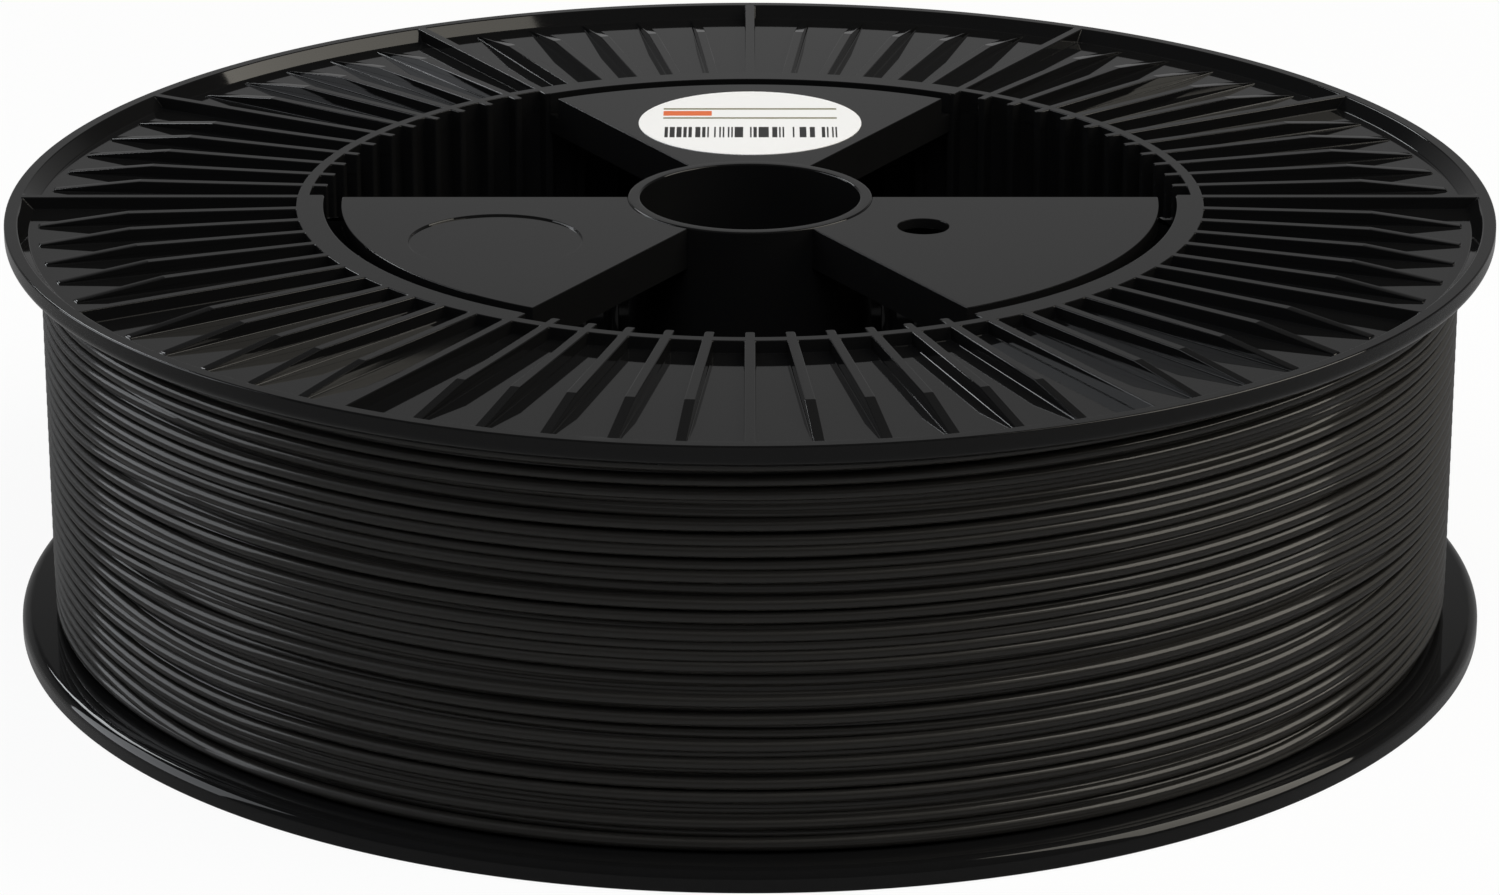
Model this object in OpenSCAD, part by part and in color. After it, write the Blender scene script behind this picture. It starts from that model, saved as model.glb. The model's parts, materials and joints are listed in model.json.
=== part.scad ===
// Large filament spool lying flat: two moulded halves, the wound filament and a round label.
// Origin: centre of the lower face. +Z is the spindle axis. Millimetres.

/* [Spool] */
// Distance between the two outer faces
overall_w = 101; // [92:1:125]
// Outer diameter of the flanges
flange_d = 350; // [344:1:380]

/* [Flange] */
// Thickness of the flange's plate
plate_t = 2.2; // [1.8:0.1:3]
// Height of the ribs, ring and lip above the plate
rib_h = 3; // [2:0.1:4]
// Width of the flat top of the lip
lip_w = 3; // [2:0.1:4]
// Radius of the lip's rounded outer edge
lip_round = 0.4; // [0.2:0.05:0.6]
// Radius that blends the outer band into the inner face
heel_round = 2.5; // [0.5:0.1:3]

/* [Radial ribs] */
// Number of radial ribs on each flange
rib_count = 72; // [36:12:72]
// One rib in this many runs at full height to the lip
full_rib_step = 6; // [2:1:6]
// Thickness of a radial rib
rib_t = 2.4; // [1.6:0.1:3]
// Radius where a tapered rib starts to slope down
taper_start_r = 146; // [125:1:155]
// Gap between a tapered rib's tip and the foot of the lip
tip_gap = 2; // [1:0.5:6]
// Height of a tapered rib's tip above the plate
tip_h = 0.4; // [0.2:0.1:1]

/* [Barrel] */
// Outer diameter of the barrel that the filament is wound on
barrel_d = 214; // [206:1:226]
// Wall of the barrel
barrel_wall = 2.8; // [2:0.1:4]
// Reach of the upright ribs inside the barrel
stiffener_reach = 3.4; // [2:0.1:4]
// Thickness of the upright ribs inside the barrel
stiffener_t = 2.2; // [1.4:0.1:2.6]
// Corner radius of the upright ribs' inner edges
stiffener_round = 0.6; // [0.2:0.1:0.6]
// Height of the spigot that locates one half in the other
register_h = 3; // [2:0.5:6]
// Clearance round the spigot
register_clear = 0.15; // [0.05:0.05:0.3]

/* [Hub and webs] */
// Bore for the spindle
bore_d = 52; // [40:1:60]
// Wall of the hub sleeve
hub_wall = 2.9; // [2:0.1:4]
// Radius of the hub's rounded rim
hub_round = 0.4; // [0.2:0.1:0.8]
// Angle that each closed web covers
web_angle = 60; // [50:5:70]
// Thickness of a web's plate
web_t = 2.4; // [1.8:0.1:3.5]
// Depth of a web's plate below the spool's face
web_drop = 0.2; // [0.1:0.05:0.4]
// Depth of a web's side walls
skirt_h = 10; // [8:0.5:20]
// Thickness of a web's side walls
skirt_t = 2.4; // [1.6:0.1:3.5]
// Inward reach of the collar that faces each web
collar_w = 3.6; // [3:0.1:5]
// Width of the groove between a web and its collar
groove_w = 4.2; // [3:0.1:7]
// Diameter of the drive pin hole
drive_hole_d = 12; // [8:0.5:16]
// Distance of the drive pin hole from the axis
drive_hole_r = 46.5; // [42:0.5:56]
// Diameter of the round recess
recess_d = 40; // [30:1:46]
// Distance of the round recess from the axis
recess_r = 67.8; // [62:0.1:70]
// Depth of the round recess
recess_deep = 0.4; // [0.2:0.1:0.8]

/* [Label] */
// Diameter of the round label
label_d = 55; // [40:1:56]
// Distance of the label from the axis
label_r = 61.8; // [60:0.1:64]
// Thickness of the label
label_t = 0.15; // [0.05:0.05:0.2]

/* [Filament] */
// Diameter of the filament
filament_d = 2.85; // [2.6:0.05:2.95]
// Outer diameter of the wound filament
wound_d = 334; // [300:1:338]
// Turns in the outer layer
turns = 24; // [12:1:24]
// Clearance of the winding from the barrel, the flanges and its own inner layers
wound_clear = 0.3; // [0.2:0.05:0.5]

/* [Hidden] */
$fn = 180;

flange_r = flange_d / 2;
flange_t = plate_t + rib_h;
half_w = overall_w / 2;
// Heights are measured from the middle plane, where the two halves meet
face_z = half_w;
plate_z = face_z - rib_h;
inner_z = face_z - flange_t;
lip_foot_r = flange_r - lip_w - rib_h;
tip_r = lip_foot_r - tip_gap;

barrel_r = barrel_d / 2;
barrel_in_r = barrel_r - barrel_wall;
stiffener_r = barrel_in_r - stiffener_reach;
collar_r = barrel_in_r - collar_w;
web_r = collar_r - groove_w;
bore_r = bore_d / 2;
hub_r = bore_r + hub_wall;
web_z = face_z - web_drop;
skirt_z = face_z - skirt_h;
register_r = barrel_in_r + barrel_wall / 2;

// Middle angle of each web, counted from +X
rear_a = 90;
left_a = 210;
right_a = 330;
web_angles = [rear_a, left_a, right_a];
rib_step = 360 / rib_count;
// Overlap that joins the shapes of one moulding
join = 0.5;
// Length by which a cutter runs past what it cuts
past = 1;

wound_r = wound_d / 2;
strand_r = filament_d / 2;
coil_r = wound_r - strand_r;
coil_low = -inner_z + wound_clear + strand_r;
coil_high = inner_z - wound_clear - strand_r;
pitch = (coil_high - coil_low) / turns;
turn_rings = 24;
strand_sides = 6;
// The inner layers end clear of the outer layer, whose rings are joined by straight chords
inner_layers_r = coil_r * cos(180 / turn_rings) - strand_r - wound_clear;

// Arc that rounds the corner q between p and s, with radius r
function corner(p, q, s, r, n = 5) =
    let (
        u = (p - q) / norm(p - q),
        v = (s - q) / norm(s - q),
        half = acos(u * v) / 2,
        mid = (u + v) / norm(u + v),
        c = q + mid * r / sin(half),
        a = q + u * r / tan(half) - c,
        b = q + v * r / tan(half) - c
    )
    [for (i = [0:n]) let (t = i / n, w = a * (1 - t) + b * t) c + w * r / norm(w)];

// Outline with every corner rounded by its own radius, where 0 keeps it sharp
function rounded(points, radii) =
    let (n = len(points))
    [for (i = [0:n - 1])
        each radii[i] == 0 ? [points[i]]
            : corner(points[(i + n - 1) % n], points[i], points[(i + 1) % n], radii[i])];

// Angle between two directions, from 0 to 180
function apart(a, b) = abs((((a - b) % 360) + 540) % 360 - 180);
function from_web(a) = min([for (w = web_angles) apart(a, w)]);
function on_web_edge(a) = abs(from_web(a) - web_angle / 2) < rib_step / 2;

// Turns a shape of the upper half over to make the lower half
module lower_half() translate([0, 0, half_w]) rotate([0, 180, 0]) children();
module upper_half() translate([0, 0, half_w]) children();

// A sector of a ring: radii r1 to r2, heights z1 to z2, centred on angle mid
module sector(r1, r2, z1, z2, mid, angle) {
    rotate([0, 0, mid - angle / 2])
        rotate_extrude(angle = angle)
            translate([r1, z1]) square([r2 - r1, z2 - z1]);
}

module ring(r1, r2, z1, z2) {
    difference() {
        translate([0, 0, z1]) cylinder(r = r2, h = z2 - z1);
        translate([0, 0, z1 - past]) cylinder(r = r1, h = z2 - z1 + 2 * past);
    }
}

// Outer form of a flange: its two faces, the band round the outside and the rounded edges
module flange_envelope() {
    outline = [[0, inner_z], [flange_r, inner_z], [flange_r, face_z], [0, face_z]];
    rotate_extrude() polygon(rounded(outline, [0, heel_round, lip_round, 0]));
}

// Plate, ring and lip of a flange in one turning, oversize where the envelope trims it
module flange_disc() {
    rotate_extrude() polygon([
        [barrel_in_r, inner_z - past], [flange_r + past, inner_z - past],
        [flange_r + past, face_z + past], [flange_r - lip_w + past, face_z + past],
        [lip_foot_r, plate_z], [barrel_r, plate_z],
        [barrel_r, face_z + past], [barrel_in_r, face_z + past]]);
}

// One radial rib, drawn from the side and lying along +X, oversize at its top
module radial_rib(full) {
    low = plate_z - join;
    high = face_z + join;
    start_r = barrel_r - join;
    end_r = flange_r - lip_w / 2;
    slope = (tip_r - taper_start_r) / (rib_h - tip_h);
    outline = full
        ? [[start_r, low], [end_r, low], [end_r, high], [start_r, high]]
        : [[start_r, low], [tip_r, low], [tip_r, plate_z + tip_h],
            [taper_start_r - join * slope, high], [start_r, high]];
    translate([0, rib_t / 2, 0]) rotate([90, 0, 0])
        linear_extrude(rib_t) polygon(outline);
}

// One upright rib inside the barrel, with its inner edges rounded
module stiffener(z1, z2) {
    flat = stiffener_t - 2 * stiffener_round;
    length = stiffener_reach + join;
    translate([stiffener_r, 0, z1]) linear_extrude(z2 - z1) {
        translate([stiffener_round, -stiffener_t / 2])
            square([length - stiffener_round, stiffener_t]);
        translate([0, -flat / 2]) square([length, flat]);
        for (side = [-1, 1])
            translate([stiffener_round, side * flat / 2]) circle(r = stiffener_round, $fn = 24);
    }
}

module flange() {
    color("#1c1c1e") intersection() {
        flange_envelope();
        union() {
            flange_disc();
            for (i = [0:rib_count - 1])
                rotate([0, 0, i * rib_step]) radial_rib(i % full_rib_step == 0);
            for (i = [0:rib_count - 1])
                if (from_web(i * rib_step) > web_angle / 2 - rib_step / 4)
                    rotate([0, 0, i * rib_step]) stiffener(inner_z - join, face_z + join);
            for (a = web_angles)
                sector(collar_r, barrel_in_r + join, inner_z - past, face_z + past, a, web_angle);
        }
    }
}

// Half of the barrel. The male half carries the spigot, the other half its seat.
module barrel(male) {
    seat_h = register_h + register_clear;
    color("#17171a") difference() {
        union() {
            ring(barrel_in_r, barrel_r, male ? -register_h : 0, inner_z + past);
            for (i = [0:rib_count - 1])
                rotate([0, 0, i * rib_step])
                    stiffener(0, on_web_edge(i * rib_step) ? skirt_z : inner_z + join);
        }
        translate([0, 0, inner_z]) cylinder(r = barrel_r + past, h = 2 * past);
        if (male)
            ring(register_r, barrel_r + past, -register_h - past, 0);
        else
            translate([0, 0, -past]) cylinder(r = register_r + register_clear, h = seat_h + past);
    }
}

module hub() {
    outline = [[bore_r, 0], [hub_r, 0], [hub_r, face_z], [bore_r, face_z]];
    color("#1c1c1e") rotate_extrude()
        polygon(rounded(outline, [0, 0, hub_round, hub_round]));
}

// The space inside a web along +X, a wedge one wall thickness in from the web's two sides
module web_hollow(r1, r2, z2) {
    apex = skirt_t / sin(web_angle / 2);
    spread = barrel_r * tan(web_angle / 2);
    intersection() {
        translate([apex, 0, skirt_z - past]) linear_extrude(z2 - skirt_z + past)
            polygon([[0, 0], [barrel_r, -spread], [barrel_r, spread]]);
        ring(r1, r2, skirt_z - 2 * past, z2 + past);
    }
}

// A closed web: plate, outer wall, and two side walls that reach under the groove to the barrel
module web(mid) {
    color("#1f1f21") difference() {
        sector(hub_r - past, barrel_in_r, skirt_z, web_z, mid, web_angle);
        cylinder(r = hub_r, h = face_z + past);
        rotate([0, 0, mid]) web_hollow(hub_r - 2 * past, web_r - skirt_t, web_z - web_t);
        rotate([0, 0, mid]) web_hollow(web_r, barrel_r, inner_z + past);
        ring(web_r, barrel_r, inner_z, face_z + past);
    }
}

module web_with_hole() {
    difference() {
        web(right_a);
        rotate([0, 0, right_a]) translate([drive_hole_r, 0, skirt_z])
            cylinder(d = drive_hole_d, h = skirt_h + past);
    }
}

module web_with_recess() {
    difference() {
        web(left_a);
        rotate([0, 0, left_a]) translate([recess_r, 0, web_z - recess_deep])
            cylinder(d = recess_d, h = skirt_h);
    }
}

// All layers under the outer one
module filament_inner_layers() {
    color("#2e3033")
        ring(barrel_r + wound_clear, inner_layers_r,
            -inner_z + wound_clear, inner_z - wound_clear);
}

// Centre line of the outer layer: it comes out of the inner layers, winds up and goes back in
function coil_point(i) =
    let (a = i * 360 / turn_rings, z = coil_low + pitch * i / turn_rings)
    [coil_r * cos(a), coil_r * sin(a), z];
coil_steps = turns * turn_rings;
function sunk(p) = let (k = inner_layers_r / coil_r) [p.x * k, p.y * k, p.z];
coil_path = [
    sunk(coil_point(0)),
    for (i = [0:coil_steps]) coil_point(i),
    sunk(coil_point(coil_steps))];

// Least gap between the outer layer and itself, measured between points at least half a turn apart
coil_gap = min([
    for (i = [0:coil_steps - turn_rings / 2]) for (j = [i + turn_rings / 2:coil_steps + 2])
        norm(coil_path[i] - coil_path[j])]) - filament_d;
echo(coil_gap = coil_gap);

function unit(v) = v / norm(v);
// Sides of the tube at point i, on the plane that halves the bend there
function tube_ring(path, i) =
    let (
        last = len(path) - 1,
        before = unit(path[max(i, 1)] - path[max(i, 1) - 1]),
        after = unit(path[min(i, last - 1) + 1] - path[min(i, last - 1)]),
        along = unit(before + after),
        bend = sqrt((1 + before * after) / 2),
        across = unit(cross([0, 0, 1], along)),
        up = unit(cross(along, across))
    )
    [for (k = [0:strand_sides - 1])
        let (a = 360 * (k + 0.5) / strand_sides)
        path[i] + strand_r * (across * cos(a) / bend + up * sin(a))];

module tube(path) {
    n = len(path);
    s = strand_sides;
    points = [for (i = [0:n - 1]) each tube_ring(path, i)];
    faces = [
        for (i = [0:n - 2]) for (k = [0:s - 1]) each [
            [i * s + k, (i + 1) * s + k, i * s + (k + 1) % s],
            [i * s + (k + 1) % s, (i + 1) * s + k, (i + 1) * s + (k + 1) % s]],
        for (k = [1:s - 2]) [0, k, k + 1],
        for (k = [1:s - 2]) [(n - 1) * s, (n - 1) * s + k + 1, (n - 1) * s + k]];
    polyhedron(points, faces);
}

module filament_outer_layer() {
    color("#3a3c40") tube(coil_path);
}

module label() {
    color("white")
        rotate([0, 0, rear_a]) translate([label_r, 0, web_z]) cylinder(d = label_d, h = label_t);
}

upper_half() flange();  // upper_flange
upper_half() barrel(false);  // upper_barrel
upper_half() hub();  // upper_hub
upper_half() web(rear_a);  // upper_rear_web
upper_half() web_with_recess();  // upper_left_web
upper_half() web_with_hole();  // upper_right_web
lower_half() flange();  // lower_flange
lower_half() barrel(true);  // lower_barrel
lower_half() hub();  // lower_hub
lower_half() web(rear_a);  // lower_rear_web
lower_half() web_with_hole();  // lower_left_web
lower_half() web_with_recess();  // lower_right_web
upper_half() filament_inner_layers();
upper_half() filament_outer_layer();
upper_half() label();
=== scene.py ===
import json
import math

import bmesh
import bpy
from mathutils import Matrix, Quaternion, Vector, noise

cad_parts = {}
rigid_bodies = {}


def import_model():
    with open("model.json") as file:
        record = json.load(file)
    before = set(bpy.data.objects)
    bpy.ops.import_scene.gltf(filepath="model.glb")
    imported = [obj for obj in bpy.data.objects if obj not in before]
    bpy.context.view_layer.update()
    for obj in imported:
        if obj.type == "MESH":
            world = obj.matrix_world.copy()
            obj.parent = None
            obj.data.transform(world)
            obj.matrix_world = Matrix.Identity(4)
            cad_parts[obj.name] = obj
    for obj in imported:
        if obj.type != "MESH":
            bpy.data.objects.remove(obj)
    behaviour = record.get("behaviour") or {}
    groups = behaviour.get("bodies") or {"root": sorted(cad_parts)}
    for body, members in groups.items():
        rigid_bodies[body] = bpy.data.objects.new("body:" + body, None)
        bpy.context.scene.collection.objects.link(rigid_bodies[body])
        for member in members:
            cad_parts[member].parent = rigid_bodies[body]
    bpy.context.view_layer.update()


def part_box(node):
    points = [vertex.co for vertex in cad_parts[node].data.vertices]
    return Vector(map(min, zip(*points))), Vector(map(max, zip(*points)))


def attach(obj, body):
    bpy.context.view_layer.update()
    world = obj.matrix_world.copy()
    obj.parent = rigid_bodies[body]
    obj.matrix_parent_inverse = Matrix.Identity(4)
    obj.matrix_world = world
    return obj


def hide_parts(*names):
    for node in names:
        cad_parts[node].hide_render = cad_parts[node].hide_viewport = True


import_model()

mm = 0.001
scene = bpy.context.scene

flangeLow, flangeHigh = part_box("upper_flange")
labelLow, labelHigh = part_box("label")
windingLow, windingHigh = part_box("filament_outer_layer")
labelCentre = (labelLow + labelHigh) / 2
flangeRadius = flangeHigh.x
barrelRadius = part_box("upper_barrel")[1].x
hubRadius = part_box("upper_hub")[1].x

# heights in a half count from the middle plane, where the two halves meet
halfWidth = flangeHigh.z / 2
innerFace = halfWidth - (flangeHigh.z - flangeLow.z)

ribPitch = 5  # degrees from one rib to the next
webSpan = 60  # degrees that each web takes up
webAngles = {"rear": 90, "left": 210, "right": 330}

turnSteps = 360  # flats in a full turn, one to a degree
weld = 0.001 * mm  # points nearer than this become one
overlap = 0.5 * mm  # how far joined solids run into each other
overcut = 1 * mm  # how far a cutter passes the face that it opens


def linked(name, data):
    thing = bpy.data.objects.new(name, data)
    scene.collection.objects.link(thing)
    return thing


def meshObject(name, bm):
    bmesh.ops.remove_doubles(bm, verts=bm.verts, dist=weld)
    bmesh.ops.recalc_face_normals(bm, faces=bm.faces)
    mesh = bpy.data.meshes.new(name)
    bm.to_mesh(mesh)
    bm.free()
    return linked(name, mesh)


def applyModifiers(piece):
    evaluated = piece.evaluated_get(bpy.context.evaluated_depsgraph_get())
    mesh = bpy.data.meshes.new_from_object(evaluated)
    piece.modifiers.clear()
    piece.data = mesh


def combine(piece, tool, operation):
    step = piece.modifiers.new("combine", "BOOLEAN")
    step.operation, step.object, step.solver = operation, tool, "MANIFOLD"
    applyModifiers(piece)
    bpy.data.objects.remove(tool)


def aboutZ(degrees, size=3):
    return Matrix.Rotation(math.radians(degrees), size, "Z")


def pointsIn(geometry):
    return [item for item in geometry if isinstance(item, bmesh.types.BMVert)]


def pull(bm, along):  # gives the flat face drawn so far its depth
    pulled = bmesh.ops.extrude_face_region(bm, geom=bm.faces[:])
    bmesh.ops.translate(bm, verts=pointsIn(pulled["geom"]), vec=along)


def arcSegments(radius):  # four to a millimetre of radius, and never fewer than three
    return max(3, round(4 * radius / mm))


def flatOutline(bm, points, rounds=()):
    # a closed outline in the XZ plane, each corner rounded by the radius in its place
    corners = [bm.verts.new((x, 0, z)) for x, z in points]
    bm.faces.new(corners)
    for index, radius in enumerate(rounds):
        if radius:
            here = Vector(points[index])
            before = (Vector(points[index - 1]) - here).normalized()
            after = (Vector(points[(index + 1) % len(points)]) - here).normalized()
            offset = radius / math.tan(before.angle(after) / 2)
            bmesh.ops.bevel(bm, geom=[corners[index]], offset=offset, segments=arcSegments(radius),
                            profile=0.5, affect="VERTICES", material=-1)
    return bm.faces[:]


def section(inner, outer, low, high):  # the corners of a plain ring's section
    return [(inner, low), (outer, low), (outer, high), (inner, high)]


def turned(name, points, rounds=(), steps=turnSteps):
    # a section turned all the way about the spool's axis
    bm = bmesh.new()
    bmesh.ops.delete(bm, geom=flatOutline(bm, points, rounds), context="FACES_ONLY")
    bmesh.ops.spin(bm, geom=bm.edges[:], axis=(0, 0, 1), angle=2 * math.pi, steps=steps,
                   use_merge=True)
    return meshObject(name, bm)


def webSector(name, points, middle):
    # a section turned through the angle that one web takes up
    bm = bmesh.new()
    flatOutline(bm, points)
    bmesh.ops.rotate(bm, verts=bm.verts, matrix=aboutZ(middle - webSpan / 2))
    bmesh.ops.spin(bm, geom=bm.faces[:] + bm.edges[:], axis=(0, 0, 1), angle=math.radians(webSpan),
                   steps=webSpan * turnSteps // 360)
    return meshObject(name, bm)


def ringOfCopies(bm, angles):
    first = bm.verts[:] + bm.edges[:] + bm.faces[:]
    copies = [first] + [bmesh.ops.duplicate(bm, geom=first)["geom"] for angle in angles[1:]]
    for copy, angle in zip(copies, angles):
        bmesh.ops.rotate(bm, verts=pointsIn(copy), matrix=aboutZ(angle))


# angles in degrees: nearly flat joints are dissolved, and steeper ones are rounded or stay sharp
edgeFinish = {
    "weld": 0.005 * mm, "flatWithin": 0.3, "roundFrom": 32, "segments": 2, "sharpFrom": 35}


def softEdges(piece, width):
    bm = bmesh.new()
    bm.from_mesh(piece.data)
    bmesh.ops.remove_doubles(bm, verts=bm.verts, dist=edgeFinish["weld"])
    bmesh.ops.dissolve_limit(bm, angle_limit=math.radians(edgeFinish["flatWithin"]), verts=bm.verts,
                             edges=bm.edges, delimit={"NORMAL"})
    bm.to_mesh(piece.data)
    bm.free()
    rounding = piece.modifiers.new("soft edges", "BEVEL")
    rounding.width, rounding.segments = width, edgeFinish["segments"]
    rounding.limit_method, rounding.angle_limit = "ANGLE", math.radians(edgeFinish["roundFrom"])
    rounding.use_clamp_overlap = False
    applyModifiers(piece)


def smooth(piece):
    piece.data.shade_smooth()
    piece.data.set_sharp_from_angle(angle=math.radians(edgeFinish["sharpFrom"]))
    return piece


def evenShading(piece):
    weighted = smooth(piece).modifiers.new("even shading", "WEIGHTED_NORMAL")
    weighted.keep_sharp = True
    weighted.weight = 100
    return piece


def setHalf(piece, upper):
    # turns the lower half over about the Y axis, as the real moulding is
    turn = Matrix.Identity(4) if upper else Matrix.Rotation(math.pi, 4, "Y")
    piece.data.transform(Matrix.Translation((0, 0, halfWidth)) @ turn)
    return piece


barrelForm = {
    "wall": 2.8 * mm, "ribReach": 3.4 * mm, "ribThickness": 2.2 * mm, "ribRound": 0.6 * mm}
barrelInside = barrelRadius - barrelForm["wall"]


def uprightRibs(low, high, angles):
    # plan of one upright rib along +X, its two inner corners rounded, and then its copies
    form = barrelForm
    inner, outer = barrelInside - form["ribReach"], barrelInside + overlap
    half = form["ribThickness"] / 2
    bm = bmesh.new()
    corners = [bm.verts.new((x, y, low)) for x, y in section(inner, outer, -half, half)]
    bm.faces.new(corners)
    bmesh.ops.bevel(bm, geom=[corners[0], corners[3]], offset=form["ribRound"],
                    segments=arcSegments(form["ribRound"]), profile=0.5, affect="VERTICES",
                    material=-1)
    pull(bm, (0, 0, high - low))
    ringOfCopies(bm, angles)
    return meshObject("ribs", bm)


def makeBarrel(name, upper):
    piece = turned(name, section(barrelInside, barrelRadius, 0, innerFace))
    combine(piece, uprightRibs(0, innerFace, range(0, 360, ribPitch)), "UNION")
    return evenShading(setHalf(piece, upper))


flangeForm = {
    "plate": 2.2 * mm, "lipWidth": 3 * mm, "lipFoot": 2.6 * mm, "lipRound": 0.4 * mm,
    "heelRound": 2.5 * mm, "ribThickness": 2.4 * mm, "fullRibEvery": 6, "slopeStart": 146 * mm,
    "tipGap": 2.4 * mm, "tipHeight": 0.4 * mm, "collarReach": 3.6 * mm, "edgeRound": 0.26 * mm}
collarInside = barrelInside - flangeForm["collarReach"]


def keepKinks(piece):
    # the shallow bend on top of each tapered rib stays a clear line
    bend = {"least": 5, "most": 8.5, "facingUp": 0.9}  # degrees, and how level both faces are
    bm = bmesh.new()
    bm.from_mesh(piece.data)
    for edge in bm.edges:
        level = [face.normal.z > bend["facingUp"] for face in edge.link_faces]
        if len(level) == 2 and all(level):
            if bend["least"] < math.degrees(edge.calc_face_angle()) < bend["most"]:
                edge.smooth = False
    bm.to_mesh(piece.data)
    bm.free()


def fromWeb(angle):  # degrees from an angle to the middle of the nearest web
    return min(abs((angle - middle + 180) % 360 - 180) for middle in webAngles.values())


def makeFlange(name, upper):
    form = flangeForm
    plateFace = innerFace + form["plate"]  # the plate between the ribs
    lipInside = flangeRadius - form["lipWidth"]
    lipFoot = lipInside - form["lipFoot"]
    piece = turned(name, [
        (barrelInside, innerFace), (flangeRadius, innerFace), (flangeRadius, halfWidth),
        (lipInside, halfWidth), (lipFoot, plateFace),
        (barrelRadius, plateFace), (barrelRadius, halfWidth), (barrelInside, halfWidth)],
        [0, form["heelRound"], form["lipRound"]])

    # radial ribs: one in six stays at full height up to the lip, and the rest slope down before it
    start, foot = barrelRadius - overlap, plateFace - overlap
    tip = lipFoot - form["tipGap"]
    fullAngles = range(0, 360, ribPitch * form["fullRibEvery"])
    slopedAngles = [angle for angle in range(0, 360, ribPitch) if angle not in fullAngles]
    fullSide = section(start, lipInside + overlap, foot, halfWidth)
    slopedSide = [(start, foot), (tip, foot), (tip, plateFace + form["tipHeight"]),
                  (form["slopeStart"], halfWidth), (start, halfWidth)]
    for angles, side in ((fullAngles, fullSide), (slopedAngles, slopedSide)):
        bm = bmesh.new()
        flatOutline(bm, side)
        bmesh.ops.translate(bm, verts=bm.verts, vec=(0, -form["ribThickness"] / 2, 0))
        pull(bm, (0, form["ribThickness"], 0))
        ringOfCopies(bm, angles)
        combine(piece, meshObject("ribs", bm), "UNION")

    # heads of the upright ribs in the open sectors, and a collar facing each web
    headAngles = [angle for angle in range(0, 360, ribPitch) if fromWeb(angle) >= webSpan / 2]
    combine(piece, uprightRibs(innerFace, halfWidth, headAngles), "UNION")
    for middle in webAngles.values():
        collar = section(collarInside, barrelInside + overlap, innerFace, halfWidth)
        combine(piece, webSector("collar", collar, middle), "UNION")
    softEdges(piece, form["edgeRound"])
    evenShading(piece)
    keepKinks(piece)
    return setHalf(piece, upper)


hubForm = {"wall": 2.9 * mm, "rimRound": 0.4 * mm, "steps": 180}


def makeHub(name, upper):
    sleeve = section(hubRadius - hubForm["wall"], hubRadius, 0, halfWidth)
    piece = turned(name, sleeve, [0, 0, hubForm["rimRound"], hubForm["rimRound"]], hubForm["steps"])
    return evenShading(setHalf(piece, upper))


webForm = {
    "drop": 0.2 * mm, "plate": 2.4 * mm, "wall": 2.4 * mm, "depth": 10 * mm, "groove": 4.2 * mm,
    "edgeRound": 0.25 * mm, "hollowSteps": 180, "cutSteps": 96}
# what is cut into a web of the upper half: its radius, how far out it lies, and its depth
webCuts = {"left": {"radius": 20 * mm, "at": 67.8 * mm, "depth": 0.4 * mm},
           "right": {"radius": 6 * mm, "at": 46.5 * mm, "depth": None}}  # right through
webRadius = collarInside - webForm["groove"]


def hollowWedge(middle, inner, outer, low, high):
    # the space inside a web, one wall in from its two sides
    apex = webForm["wall"] / math.sin(math.radians(webSpan / 2))
    spread = outer * math.tan(math.radians(webSpan / 2))
    piece = turned("hollow", section(inner, outer, low, high), steps=webForm["hollowSteps"])
    bm = bmesh.new()
    bm.faces.new([bm.verts.new((x, y, low - overcut)) for x, y in
                  ((apex, 0), (apex + outer, -spread), (apex + outer, spread))])
    pull(bm, (0, 0, high - low + 2 * overcut))
    combine(piece, meshObject("wedge", bm), "INTERSECT")
    piece.data.transform(aboutZ(middle, 4))
    return piece


def makeWeb(name, middle, upper, cut=None):
    form = webForm
    top = halfWidth - form["drop"]
    skirt = halfWidth - form["depth"]
    below, above, beyond = skirt - overcut, halfWidth + overcut, barrelInside + overcut
    piece = webSector(name, section(hubRadius, barrelInside, skirt, top), middle)
    for hollow in ((hubRadius - overcut, webRadius - form["wall"], below, top - form["plate"]),
                   (webRadius, beyond, below, innerFace + overcut)):
        combine(piece, hollowWedge(middle, *hollow), "DIFFERENCE")
    combine(piece, turned("groove", section(webRadius, beyond, innerFace, above)), "DIFFERENCE")
    if cut:
        low = top - cut["depth"] if cut["depth"] else below
        bm = bmesh.new()
        bmesh.ops.create_circle(bm, cap_ends=True, segments=form["cutSteps"], radius=cut["radius"])
        pull(bm, (0, 0, above - low))
        bmesh.ops.translate(bm, verts=bm.verts, vec=(cut["at"], 0, low))
        bmesh.ops.rotate(bm, verts=bm.verts, matrix=aboutZ(middle))
        combine(piece, meshObject("cutter", bm), "DIFFERENCE")
    softEdges(piece, form["edgeRound"])
    return evenShading(setHalf(piece, upper))


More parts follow.
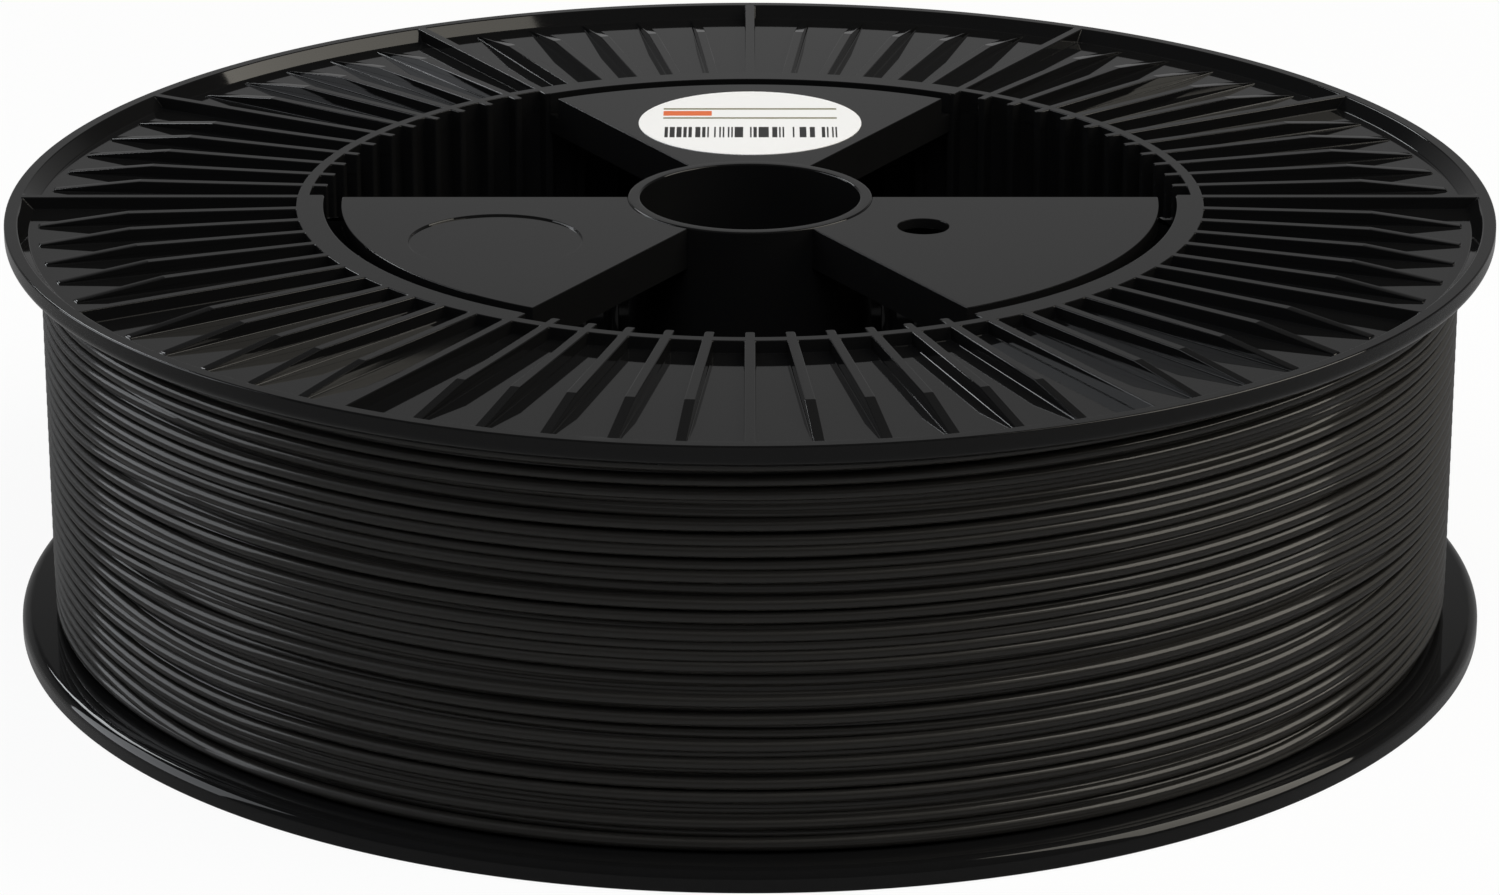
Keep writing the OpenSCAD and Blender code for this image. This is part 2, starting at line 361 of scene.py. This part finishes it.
windingForm = {
    "diameter": 2.85 * mm, "clear": 0.15 * mm, "firstTurn": 6.8 * mm, "stepsPerTurn": 150,
    "sides": 14, "seed": 11,
    # from the lower flange up: the step to the next turn, and how deep that turn has sunk, in mm
    "turns": [
        (0.6, 0.1), (4.6, 0.2), (3.0, 1.9), (3.0, 0.1), (3.3, 0.4), (4.4, 0.1), (2.1, 0.9),
        (2.4, 0.0), (5.2, 0.3), (5.1, 0.1), (3.6, 2.0), (3.6, 0.0), (2.9, 0.3), (2.2, 0.9),
        (2.5, 0.1), (3.6, 0.3), (3.6, 0.0), (3.1, 1.8), (3.0, 0.2), (2.3, 0.9), (3.0, 0.0),
        (2.8, 0.4), (3.3, 0.1), (3.5, 1.9), (3.6, 0.0), (3.2, 0.2), (3.0, 0.1)],
    "evenTo": 0.35, "loosens": 0.4,  # share of the way to the front where turns begin to loosen
    "tuckTurns": 0.04, "tuckDepth": 3 * mm,  # both ends dive into the winding
    "wander": 0.9 * mm, "wanderWaves": 2.3, "wanderRow": 0.3,
    "rise": 0.35 * mm, "riseWaves": 1.61, "riseRow": 7.7}
underForm = {"turns": 29, "sunk": 0.2, "drop": 1.5 * mm, "sides": 10, "seed": 16}
coreForm = {"drop": 2.7 * mm, "gap": 0.3 * mm}


def between(low, high, share):
    return low + (high - low) * share


def eased(share):  # runs from 0 to 1 and starts and ends gently
    share = min(max(share, 0), 1)
    return share * share * (3 - 2 * share)


def windingPath(turns, outer, handed, seed):
    # one continuous strand that climbs the barrel from turn to turn, a little out of true
    form = windingForm
    heights, depths = [form["firstTurn"]], [0]
    for step, depth in turns:
        heights.append(heights[-1] + step * mm)
        depths.append(depth * mm)
    margin = form["clear"] + form["diameter"] / 2
    lowest, highest = windingLow.z + margin, windingHigh.z - margin
    total = len(turns) + 1
    points = []
    for step in range(total * form["stepsPerTurn"] + 1):
        wound = step / form["stepsPerTurn"]
        turn = wound - 0.5  # the turns count from the front, and both ends lie at the rear
        angle = handed * turn * 2 * math.pi - math.pi / 2
        whole = min(max(math.floor(turn), 0), len(turns) - 1)
        share = turn - whole
        drift = noise.noise(Vector((turn * form["wanderWaves"], seed, form["wanderRow"])))
        lean = noise.noise(Vector((turn * form["riseWaves"], seed, form["riseRow"])))
        # turns lie unevenly at the front and close up into even rows towards the sides
        loose = eased((-math.sin(angle) - form["evenTo"]) / form["loosens"])
        uneven = between(heights[whole], heights[whole + 1], share) + form["wander"] * drift
        uneven = min(max(uneven, lowest), highest)
        height = between(between(lowest, highest, wound / total), uneven, loose)
        sunk = between(depths[whole], depths[whole + 1], eased(share)) + form["rise"] * (0.5 + lean)
        tucked = max(0, 1 - min(wound, total - wound) / form["tuckTurns"])
        radius = outer - form["diameter"] / 2 - loose * sunk - tucked * form["tuckDepth"]
        points.append((radius * math.cos(angle), radius * math.sin(angle), height))
    return points


def strand(name, points, sides):
    path = bpy.data.curves.new(name, "CURVE")
    path.dimensions = "3D"
    path.bevel_depth = windingForm["diameter"] / 2
    path.bevel_resolution = sides // 2 - 2
    path.use_fill_caps = True
    path.twist_mode = "Z_UP"
    spline = path.splines.new("POLY")
    spline.points.add(len(points) - 1)
    for point, place in zip(spline.points, points):
        point.co = (*place, 1)
    curve = linked(name + ".path", path)
    evaluated = curve.evaluated_get(bpy.context.evaluated_depsgraph_get())
    mesh = bpy.data.meshes.new_from_object(evaluated)
    bpy.data.objects.remove(curve)
    piece = linked(name, mesh)
    bm = bmesh.new()
    bm.from_mesh(mesh)
    bmesh.ops.remove_doubles(bm, verts=bm.verts, dist=weld)
    bmesh.ops.recalc_face_normals(bm, faces=bm.faces)
    bm.to_mesh(mesh)
    bm.free()
    mesh.shade_smooth()
    return piece


def makeWinding():
    form, below = windingForm, underForm
    outer = windingHigh.x
    path = windingPath(form["turns"], outer, 1, form["seed"])
    outside = strand("outerFilamentLayer", path, form["sides"])
    # a second layer, wound the other way, that shows between the turns of the first
    step = (windingHigh.z - windingLow.z - form["diameter"]) / mm / (below["turns"] + 1)
    turns = [(step, below["sunk"])] * below["turns"]
    path = windingPath(turns, outer - below["drop"], -1, below["seed"])
    under = strand("innerFilamentLayer", path, below["sides"])
    # the layers below, as one turned core
    low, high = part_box("filament_inner_layers")
    core = section(barrelRadius + coreForm["gap"], outer - coreForm["drop"], low.z, high.z)
    return outside, under, smooth(turned("filamentCore", core))


labelForm = {"rimRound": 0.03 * mm, "steps": 128}


def makeLabel():
    radius, thickness = (labelHigh.x - labelLow.x) / 2, labelHigh.z - labelLow.z
    piece = turned("labelDisc", section(0, radius, 0, thickness), [0, 0, labelForm["rimRound"]],
                   labelForm["steps"])
    piece.data.transform(Matrix.Translation((labelCentre.x, labelCentre.y, labelLow.z)))
    return evenShading(piece)


class Wire:  # one output socket, so that sums can be written as plain Python
    def __init__(self, sheet, socket):
        self.sheet, self.socket = sheet, socket

    def math(self, operation, *others):
        return self.sheet.node("ShaderNodeMath", {"operation": operation}, [self, *others])

    def __add__(self, other):
        return self.math("ADD", other)

    def __sub__(self, other):
        return self.math("SUBTRACT", other)

    def __rsub__(self, other):
        return self.sheet.node("ShaderNodeMath", {"operation": "SUBTRACT"}, [other, self])

    def __mul__(self, other):
        return self.math("MULTIPLY", other)

    def __truediv__(self, other):
        return self.math("DIVIDE", other)

    def __gt__(self, other):
        return self.math("GREATER_THAN", other)

    def __lt__(self, other):
        return self.math("LESS_THAN", other)

    __radd__, __rmul__ = __add__, __mul__


class Sheet:  # the node tree of one material or of the world
    def __init__(self, tree):
        self.tree = tree
        tree.nodes.clear()

    def node(self, kind, settings={}, inputs={}, output=0):
        made = self.tree.nodes.new(kind)
        for key, value in settings.items():
            if key == "stops":
                ramp = made.color_ramp
                while len(ramp.elements) < len(value):
                    ramp.elements.new(0.5)
                for element, (place, level) in zip(ramp.elements, value):
                    element.position, element.color = place, grey(level)
            else:
                setattr(made, key, value)
        for key, value in (inputs.items() if isinstance(inputs, dict) else enumerate(inputs)):
            if isinstance(value, Wire):
                self.tree.links.new(value.socket, made.inputs[key])
            else:
                made.inputs[key].default_value = value
        return Wire(self, made.outputs[output]) if made.outputs else None

    def mix(self, first, second, share):  # sockets 6, 7 and 2 are the ones for colours
        return self.node("ShaderNodeMix", {"data_type": "RGBA"}, {0: share, 6: first, 7: second}, 2)

    def surface(self, sockets):
        shader = self.node("ShaderNodeBsdfPrincipled", {}, sockets)
        self.node("ShaderNodeOutputMaterial", {}, {"Surface": shader})


def grey(level):
    return (level, level, level, 1)


def newFinish(name):
    material = bpy.data.materials.new(name)
    material.use_nodes = True
    return material, Sheet(material.node_tree)


def spoolPlastic():
    # facing is how much it mirrors when seen square on
    look = {"colour": (0.005, 0.005, 0.0051, 1), "roughness": 0.045, "facing": 0.45, "index": 1.5,
            "cloud": {"Scale": 35, "Detail": 3}, "clouding": 0.03,
            "grain": {"Scale": 900, "Detail": 2}, "graining": 0.02,
            "wave": {"Scale": 14, "Detail": 1}, "waving": {"Strength": 0.08, "Distance": 0.4 * mm}}
    material, sheet = newFinish("glossy black moulding")
    place = sheet.node("ShaderNodeTexCoord", output="Object")
    cloud = sheet.node("ShaderNodeTexNoise", {}, {"Vector": place, **look["cloud"]})
    grain = sheet.node("ShaderNodeTexNoise", {}, {"Vector": place, **look["grain"]})
    wave = sheet.node("ShaderNodeTexNoise", {}, {"Vector": place, **look["wave"]})
    roughness = look["roughness"] + (cloud - 0.5) * look["clouding"]
    roughness = roughness + (grain - 0.5) * look["graining"]
    bump = sheet.node("ShaderNodeBump", {}, {"Height": wave, **look["waving"]})
    sheet.surface({"Base Color": look["colour"], "Roughness": roughness, "IOR": look["index"],
                   "Specular Tint": grey(look["facing"]), "Normal": bump})
    return material


def filamentPlastic():
    # a drawn strand is rougher along its length than across it, under a thin smooth skin
    look = {"colour": (0.0125, 0.0118, 0.0108, 1), "roughness": 0.38, "facing": 0.3, "index": 1.5,
            "drawn": 1, "skin": 0.42, "skinRoughness": 0.11,
            "cloud": {"Scale": 60, "Detail": 3}, "clouding": 0.08}
    material, sheet = newFinish("dark filament")
    place = sheet.node("ShaderNodeTexCoord", output="Object")
    cloud = sheet.node("ShaderNodeTexNoise", {}, {"Vector": place, **look["cloud"]})
    roughness = look["roughness"] + (cloud - 0.5) * look["clouding"]
    sheet.surface({"Base Color": look["colour"], "Roughness": roughness, "IOR": look["index"],
                   "Specular Tint": grey(look["facing"]), "Anisotropic": look["drawn"],
                   "Coat Weight": look["skin"], "Coat Roughness": look["skinRoughness"]})
    return material


def labelPaper():
    # plain paper with two rules, a swatch and a band of bars; heights count from its centre
    printed = {
        "paper": grey(0.9), "ink": grey(0.02), "rule": (0.16, 0.15, 0.06, 1),
        "swatch": (0.75, 0.16, 0.05, 1), "halfBand": 21.5 * mm,
        "bars": (-13 * mm, -4 * mm), "barStep": 0.42 * mm, "bare": 0.46,
        "lowerRule": (3.2 * mm, 4.4 * mm), "upperRule": (11.2 * mm, 12.4 * mm),
        "swatchWidth": 12 * mm, "swatchHeights": (5.8 * mm, 10 * mm),
        "roughness": 0.45, "inkSmoother": 0.1,
        "grain": {"Scale": 1500, "Detail": 2}, "graining": {"Strength": 0.1, "Distance": 0.1 * mm}}
    material, sheet = newFinish("printed label")
    place = sheet.node("ShaderNodeTexCoord", output="Object")
    x = sheet.node("ShaderNodeSeparateXYZ", {}, {"Vector": place}, "X") - labelCentre.x
    y = sheet.node("ShaderNodeSeparateXYZ", {}, {"Vector": place}, "Y") - labelCentre.y

    def patch(left, right, low, high):
        return (x > left) * (x < right) * (y > low) * (y < high)

    half = printed["halfBand"]
    step = (x / printed["barStep"]).math("FLOOR")
    drawn = sheet.node("ShaderNodeTexWhiteNoise", {"noise_dimensions": "1D"}, {"W": step})
    bars = (drawn > printed["bare"]) * patch(-half, half, *printed["bars"])
    rules = patch(-half, half, *printed["lowerRule"]) + patch(-half, half, *printed["upperRule"])
    swatch = patch(-half, -half + printed["swatchWidth"], *printed["swatchHeights"])
    colour = sheet.mix(printed["paper"], printed["ink"], bars)
    colour = sheet.mix(colour, printed["rule"], rules)
    colour = sheet.mix(colour, printed["swatch"], swatch)
    grain = sheet.node("ShaderNodeTexNoise", {}, {"Vector": place, **printed["grain"]})
    bump = sheet.node("ShaderNodeBump", {}, {"Height": grain, **printed["graining"]})
    roughness = printed["roughness"] - printed["inkSmoother"] * bars
    sheet.surface({"Base Color": colour, "Roughness": roughness, "Normal": bump})
    return material


def makeFloor():
    # white to the camera, and dimmer where the part mirrors it
    form = {"size": 4, "drop": 0.2 * mm, "grey": 0.82, "shown": 0.92, "mirrored": 0.25}
    bm = bmesh.new()
    bmesh.ops.create_grid(bm, x_segments=1, y_segments=1, size=form["size"])
    bmesh.ops.translate(bm, verts=bm.verts, vec=(0, 0, -form["drop"]))
    floor = meshObject("floor", bm)
    material, sheet = newFinish("white floor")
    seen = sheet.node("ShaderNodeLightPath", output="Is Camera Ray")
    mirrored = sheet.node("ShaderNodeLightPath", output="Is Glossy Ray")
    pale = sheet.node("ShaderNodeBsdfDiffuse", {}, {"Color": grey(form["grey"])})
    glow = sheet.node("ShaderNodeEmission", {}, {
        "Color": grey(1), "Strength": seen + mirrored * form["mirrored"]})
    share = (seen * form["shown"]).math("MAXIMUM", mirrored)
    mixed = sheet.node("ShaderNodeMixShader", {}, [share, pale, glow])
    sheet.node("ShaderNodeOutputMaterial", {}, {"Surface": mixed})
    floor.data.materials.append(material)


def makeWorld():
    # levels by height, at the rear and at the front, and how far the rear falls off to the sides
    studio = {
        "rear": [(0, 0.36), (0.25, 0.28), (0.3, 0.25), (0.34, 0.21), (0.38, 0.1), (0.42, 0.06),
                 (1, 0.05)],
        "front": [(0, 0.05), (1, 0.06)], "sideFall": 0.75, "frontEnds": -0.2, "rearStarts": 0.3}
    world = bpy.data.worlds.new("studio")
    world.use_nodes = True
    scene.world = world
    sheet = Sheet(world.node_tree)
    direction = {"Vector": sheet.node("ShaderNodeTexCoord", output="Generated")}
    aside = sheet.node("ShaderNodeSeparateXYZ", {}, direction, "X").math("ABSOLUTE")
    away = sheet.node("ShaderNodeSeparateXYZ", {}, direction, "Y")
    up = {"Fac": sheet.node("ShaderNodeSeparateXYZ", {}, direction, "Z")}
    rear = sheet.node("ShaderNodeValToRGB", {"stops": studio["rear"]}, up)
    rear = rear * (1 - aside * studio["sideFall"])
    front = sheet.node("ShaderNodeValToRGB", {"stops": studio["front"]}, up)
    share = sheet.node("ShaderNodeMapRange", {"interpolation_type": "SMOOTHSTEP"}, {
        "Value": away, "From Min": studio["frontEnds"], "From Max": studio["rearStarts"]})
    level = rear * share + front * (1 - share)
    light = sheet.node("ShaderNodeBackground", {}, {"Color": grey(1), "Strength": level})
    sheet.node("ShaderNodeOutputWorld", {}, {"Surface": light})


# angles in degrees and lengths in metres; every lamp faces the middle of the spool's foot
lamps = {
    "left window": {
        "azimuth": 168.8, "elevation": 16.5, "distance": 2.5, "width": 1.77, "height": 2.03,
        "radiance": 2.66, "colour": (0.93, 0.96, 1), "roll": 1.2},
    "left strip": {
        "azimuth": 121.4, "elevation": 34.4, "distance": 2.5, "width": 0.5, "height": 0.75,
        "radiance": 5.6, "colour": (0.95, 0.98, 1), "roll": -45},
    "right softbox": {
        "azimuth": -3.1, "elevation": 40.1, "distance": 2.5, "width": 1.89, "height": 2.21,
        "radiance": 4.12, "colour": (1, 0.95, 0.84), "roll": -17},
    "front fill": {
        "azimuth": 270, "elevation": 56, "distance": 2, "width": 1.6, "height": 1.6,
        "radiance": 3.1, "colour": (0.95, 0.97, 1), "roll": 0, "mirrored": False}}


def softbox(name, azimuth, elevation, distance, width, height, radiance, colour, roll,
            mirrored=True):
    lamp = bpy.data.lights.new(name, "AREA")
    lamp.shape, lamp.size, lamp.size_y = "RECTANGLE", width, height
    lamp.energy = radiance * math.pi * width * height
    lamp.color = colour
    holder = linked(name, lamp)
    a, e = math.radians(azimuth), math.radians(elevation)
    direction = Vector((math.cos(a) * math.cos(e), math.sin(a) * math.cos(e), math.sin(e)))
    holder.location = distance * direction
    facing = holder.location.to_track_quat("Z", "Y")
    holder.rotation_euler = (facing @ Quaternion((0, 0, 1), math.radians(roll))).to_euler()
    holder.visible_glossy = mirrored


def makeCamera():
    view = {"distance": 1.3046, "elevation": 19.8, "aimHeight": 0.03779,
            "lens": 130.27, "sensor": 36, "near": 0.01, "far": 50}
    lens = bpy.data.cameras.new("camera")
    lens.lens, lens.sensor_width, lens.sensor_fit = view["lens"], view["sensor"], "HORIZONTAL"
    lens.clip_start, lens.clip_end = view["near"], view["far"]
    camera = linked("camera", lens)
    e = math.radians(view["elevation"])
    back = Vector((0, -math.cos(e), math.sin(e)))
    camera.location = Vector((0, 0, view["aimHeight"])) + view["distance"] * back
    camera.rotation_euler = back.to_track_quat("Z", "Y").to_euler()
    scene.camera = camera


finishes = {
    "spool_plastic": spoolPlastic(), "filament": filamentPlastic(), "label_paper": labelPaper()}
otherSide = {"rear": "rear", "left": "right", "right": "left"}


def finishPiece(piece, slot, node):
    piece.data.materials.clear()
    piece.data.materials.append(finishes[slot])
    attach(piece, "root")
    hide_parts(node)


for side in ("upper", "lower"):
    upper = side == "upper"
    for kind, make in (("Flange", makeFlange), ("Barrel", makeBarrel), ("Hub", makeHub)):
        finishPiece(make(side + kind, upper), "spool_plastic", f"{side}_{kind.lower()}")
    for web, middle in webAngles.items():
        # turning the lower half over swaps its left and right webs
        place = web if upper else otherSide[web]
        piece = makeWeb(f"{side}{place.capitalize()}Web", middle, upper, webCuts.get(web))
        finishPiece(piece, "spool_plastic", f"{side}_{place}_web")
    print(side, "half made")

outside, under, inside = makeWinding()
finishPiece(outside, "filament", "filament_outer_layer")
finishPiece(under, "filament", "filament_inner_layers")
finishPiece(inside, "filament", "filament_inner_layers")
print("filament wound")

finishPiece(makeLabel(), "label_paper", "label")
print("label placed")

makeFloor()
makeWorld()
for name, lamp in lamps.items():
    softbox(name, **lamp)
makeCamera()
scene.view_settings.view_transform = "Standard"
print("floor, lamps and camera set")

for piece in scene.objects:
    if piece.type == "MESH" and not piece.hide_render:
        print(piece.name, len(piece.data.vertices), "points", len(piece.data.polygons), "faces")
